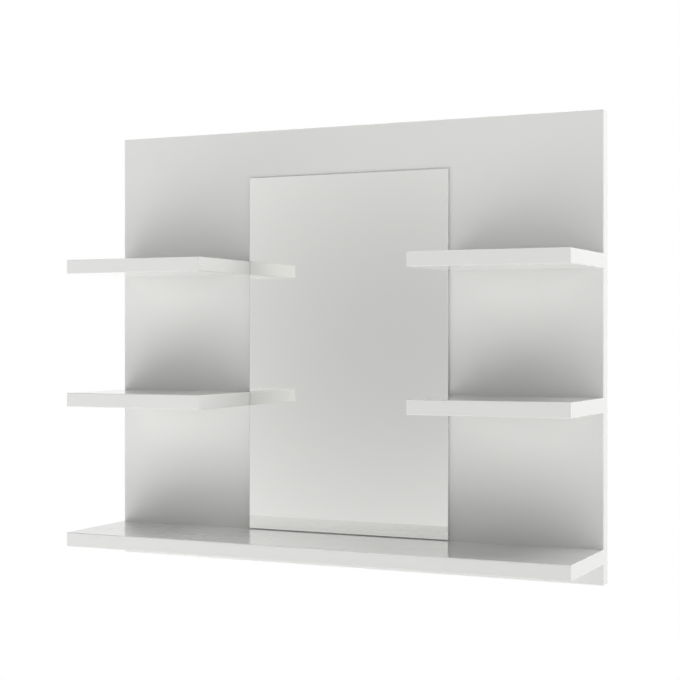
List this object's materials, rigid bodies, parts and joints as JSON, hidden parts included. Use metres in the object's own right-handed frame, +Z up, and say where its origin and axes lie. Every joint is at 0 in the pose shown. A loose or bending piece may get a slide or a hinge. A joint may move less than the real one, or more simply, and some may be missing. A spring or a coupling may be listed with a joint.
{
  "type": "wall mirror panel with shelves",
  "caption": "Flat white board that hangs on a wall, with a mirror in its middle, short open shelves on both sides of the mirror and a long shelf below it.",
  "frame": {"origin": "centre of the panel's back face, which lies on the wall", "axes": "+X to the right of a person looking at the mirror, +Y into the wall, +Z up"},
  "size_m": [0.6, 0.137, 0.505],
  "materials": {
    "white_board": "gloss",
    "white_edging": "gloss",
    "mirror": "polished",
    "foam_tape": "matte",
    "beech": "matte",
    "zinc_steel": "satin"
  },
  "bodies": {
    "root": {"back_panel": "white_board", "panel_top_edging": "white_edging", "panel_bottom_edging": "white_edging", "panel_left_edging": "white_edging", "panel_right_edging": "white_edging", "upper_left_shelf": "white_board", "upper_left_shelf_front_edging": "white_edging", "upper_left_shelf_left_edging": "white_edging", "upper_left_shelf_right_edging": "white_edging", "upper_left_shelf_dowels": "beech", "upper_left_shelf_screws": "zinc_steel", "middle_left_shelf": "white_board", "middle_left_shelf_front_edging": "white_edging", "middle_left_shelf_left_edging": "white_edging", "middle_left_shelf_right_edging": "white_edging", "middle_left_shelf_dowels": "beech", "middle_left_shelf_screws": "zinc_steel", "upper_right_shelf": "white_board", "upper_right_shelf_front_edging": "white_edging", "upper_right_shelf_left_edging": "white_edging", "upper_right_shelf_right_edging": "white_edging", "upper_right_shelf_dowels": "beech", "upper_right_shelf_screws": "zinc_steel", "middle_right_shelf": "white_board", "middle_right_shelf_front_edging": "white_edging", "middle_right_shelf_left_edging": "white_edging", "middle_right_shelf_right_edging": "white_edging", "middle_right_shelf_dowels": "beech", "middle_right_shelf_screws": "zinc_steel", "bottom_shelf": "white_board", "bottom_shelf_front_edging": "white_edging", "bottom_shelf_left_edging": "white_edging", "bottom_shelf_right_edging": "white_edging", "bottom_shelf_dowels": "beech", "bottom_shelf_screws": "zinc_steel", "mirror_glass": "mirror", "mirror_tape_strips": "foam_tape", "left_hanger_plate": "zinc_steel", "left_hanger_screws": "zinc_steel", "right_hanger_plate": "zinc_steel", "right_hanger_screws": "zinc_steel"}
  },
  "joints": []
}
